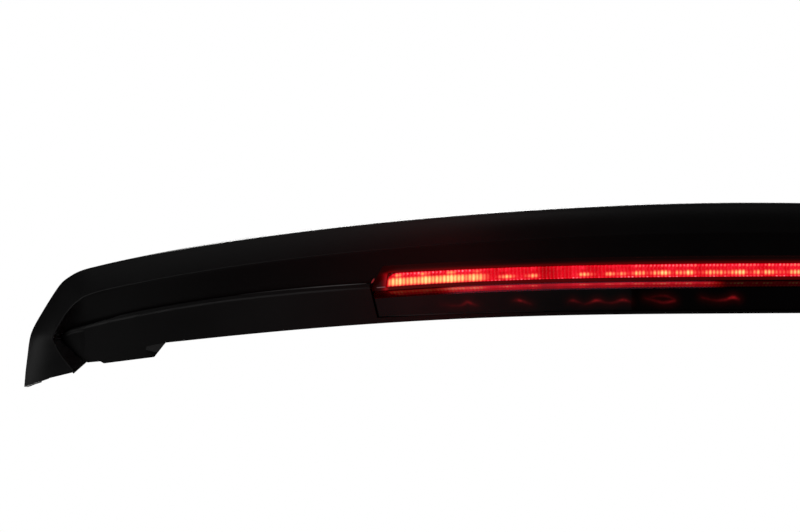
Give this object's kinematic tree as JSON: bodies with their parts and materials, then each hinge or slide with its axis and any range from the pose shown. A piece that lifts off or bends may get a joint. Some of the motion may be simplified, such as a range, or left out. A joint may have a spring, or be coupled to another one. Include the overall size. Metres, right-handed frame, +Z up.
{
  "type": "car rear spoiler",
  "caption": "Wide moulded car rear spoiler with drooping end winglets, an undercut trailing edge and a recessed high-level brake lamp, fixed from below by studs.",
  "frame": {"origin": "midway between the two inner mounting studs, on the plane of their pads", "axes": "+X across the car to its right-hand side as seen from behind, +Y forward along the car, +Z up"},
  "size_m": [1.2712, 0.2735, 0.1656],
  "materials": {
    "satin_black": "satin moulded-in black",
    "red_optic": "clear red, fluted",
    "smoked_lens": "polished smoked plastic",
    "gloss_black": "gloss black",
    "lamp_black": "matt black",
    "reflector_white": "white",
    "circuit_board": "green solder resist",
    "led_resin": "moulded resin",
    "resistor_body": "ceramic black",
    "zinc_steel": "bright zinc",
    "foam": "closed-cell foam",
    "seal_rubber": "extruded rubber",
    "pin_nylon": "natural nylon"
  },
  "bodies": {
    "root": {"wing_skin": "satin_black", "lower_shell": "satin_black", "front_seal": "seal_rubber", "strip_lens": "red_optic", "lower_lens": "smoked_lens", "lamp_bezel": "gloss_black", "lamp_housing": "lamp_black", "lamp_reflector": "reflector_white", "led_board": "circuit_board", "leds": "led_resin", "led_resistors": "resistor_body", "lamp_connector": "lamp_black", "lamp_gasket": "foam", "lamp_screws": "zinc_steel", "stud_plates": "zinc_steel", "mounting_studs": "zinc_steel", "stud_seals": "foam", "locating_pins": "pin_nylon", "foam_strips": "foam", "cable_grommet": "seal_rubber"}
  },
  "joints": []
}
